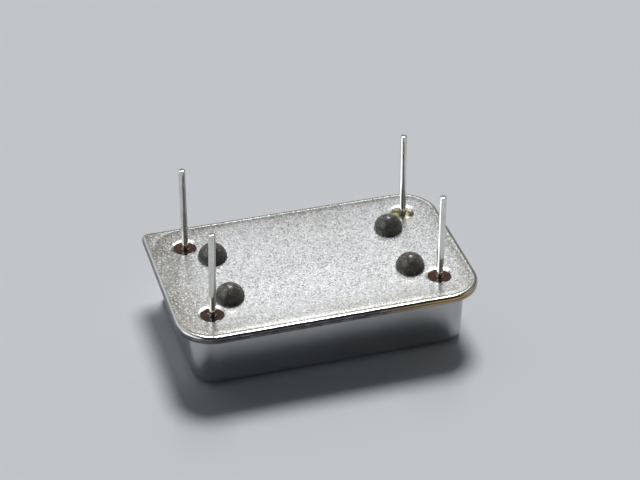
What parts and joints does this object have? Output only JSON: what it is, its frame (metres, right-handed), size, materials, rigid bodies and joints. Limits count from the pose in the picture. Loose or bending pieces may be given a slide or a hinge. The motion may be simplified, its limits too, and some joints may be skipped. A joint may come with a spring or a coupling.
{
  "type": "crystal oscillator",
  "caption": "Clock oscillator in a sealed rectangular metal can, lying on its cover with its leads up; powered through them, it gives a circuit board a steady clock signal.",
  "frame": {"origin": "centre of the cover's flat face, which it lies on", "axes": "+Z out of the base plate along the leads; +X along the case, from the end with leads 1 and 14 to the end with leads 7 and 8; +Y across the case, towards leads 1 and 7"},
  "size_m": [0.0202, 0.0126, 0.0109],
  "materials": {
    "plate_metal": "satin nickel plating with a fine blasted grain",
    "cover_metal": "bright nickel plating on smooth drawn sheet",
    "pin_metal": "bright nickel plating",
    "braze_metal": "satin, yellow-brown, uneven",
    "seal_glass": "glossy dark red-brown sealing glass",
    "bead_glass": "semi-gloss dark grey-brown fired glass, finely mottled",
    "substrate_ceramic": "matt fired alumina",
    "fired_silver": "matt thick-film silver alloy",
    "film_silver": "bright evaporated silver",
    "quartz": "clear lapped quartz",
    "clip_metal": "satin nickel-alloy spring strip",
    "silver_adhesive": "matt silver-filled epoxy",
    "silicon": "polished silicon with a glassy top layer",
    "gold_wire": "bright gold",
    "capacitor_ceramic": "matt fired ceramic",
    "terminal_tin": "satin tin plating",
    "solder": "bright solder"
  },
  "bodies": {
    "root": {"base_plate": "plate_metal", "can_cover": "cover_metal", "pin_1_enable": "pin_metal", "pin_7_ground": "pin_metal", "pin_8_output": "pin_metal", "pin_14_supply": "pin_metal", "glass_seal_1": "seal_glass", "glass_seal_8": "seal_glass", "glass_seal_14": "seal_glass", "ground_braze": "braze_metal", "standoff_bead_1": "bead_glass", "standoff_bead_7": "bead_glass", "standoff_bead_8": "bead_glass", "standoff_bead_14": "bead_glass", "ceramic_substrate": "substrate_ceramic", "conductor_tracks": "fired_silver", "quartz_blank": "quartz", "electrode_inner": "film_silver", "electrode_outer": "film_silver", "crystal_clip_left": "clip_metal", "crystal_clip_right": "clip_metal", "clip_adhesive_left": "silver_adhesive", "clip_adhesive_right": "silver_adhesive", "oscillator_chip": "silicon", "chip_adhesive": "silver_adhesive", "bond_wire_supply": "gold_wire", "bond_wire_enable": "gold_wire", "bond_wire_ground": "gold_wire", "bond_wire_crystal_in": "gold_wire", "bond_wire_crystal_out": "gold_wire", "bond_wire_output": "gold_wire", "bypass_capacitor": "capacitor_ceramic", "capacitor_terminal_left": "terminal_tin", "capacitor_terminal_right": "terminal_tin", "capacitor_solder_left": "solder", "capacitor_solder_right": "solder", "pin_solder_1": "solder", "pin_solder_7": "solder", "pin_solder_8": "solder", "pin_solder_14": "solder"}
  },
  "joints": []
}
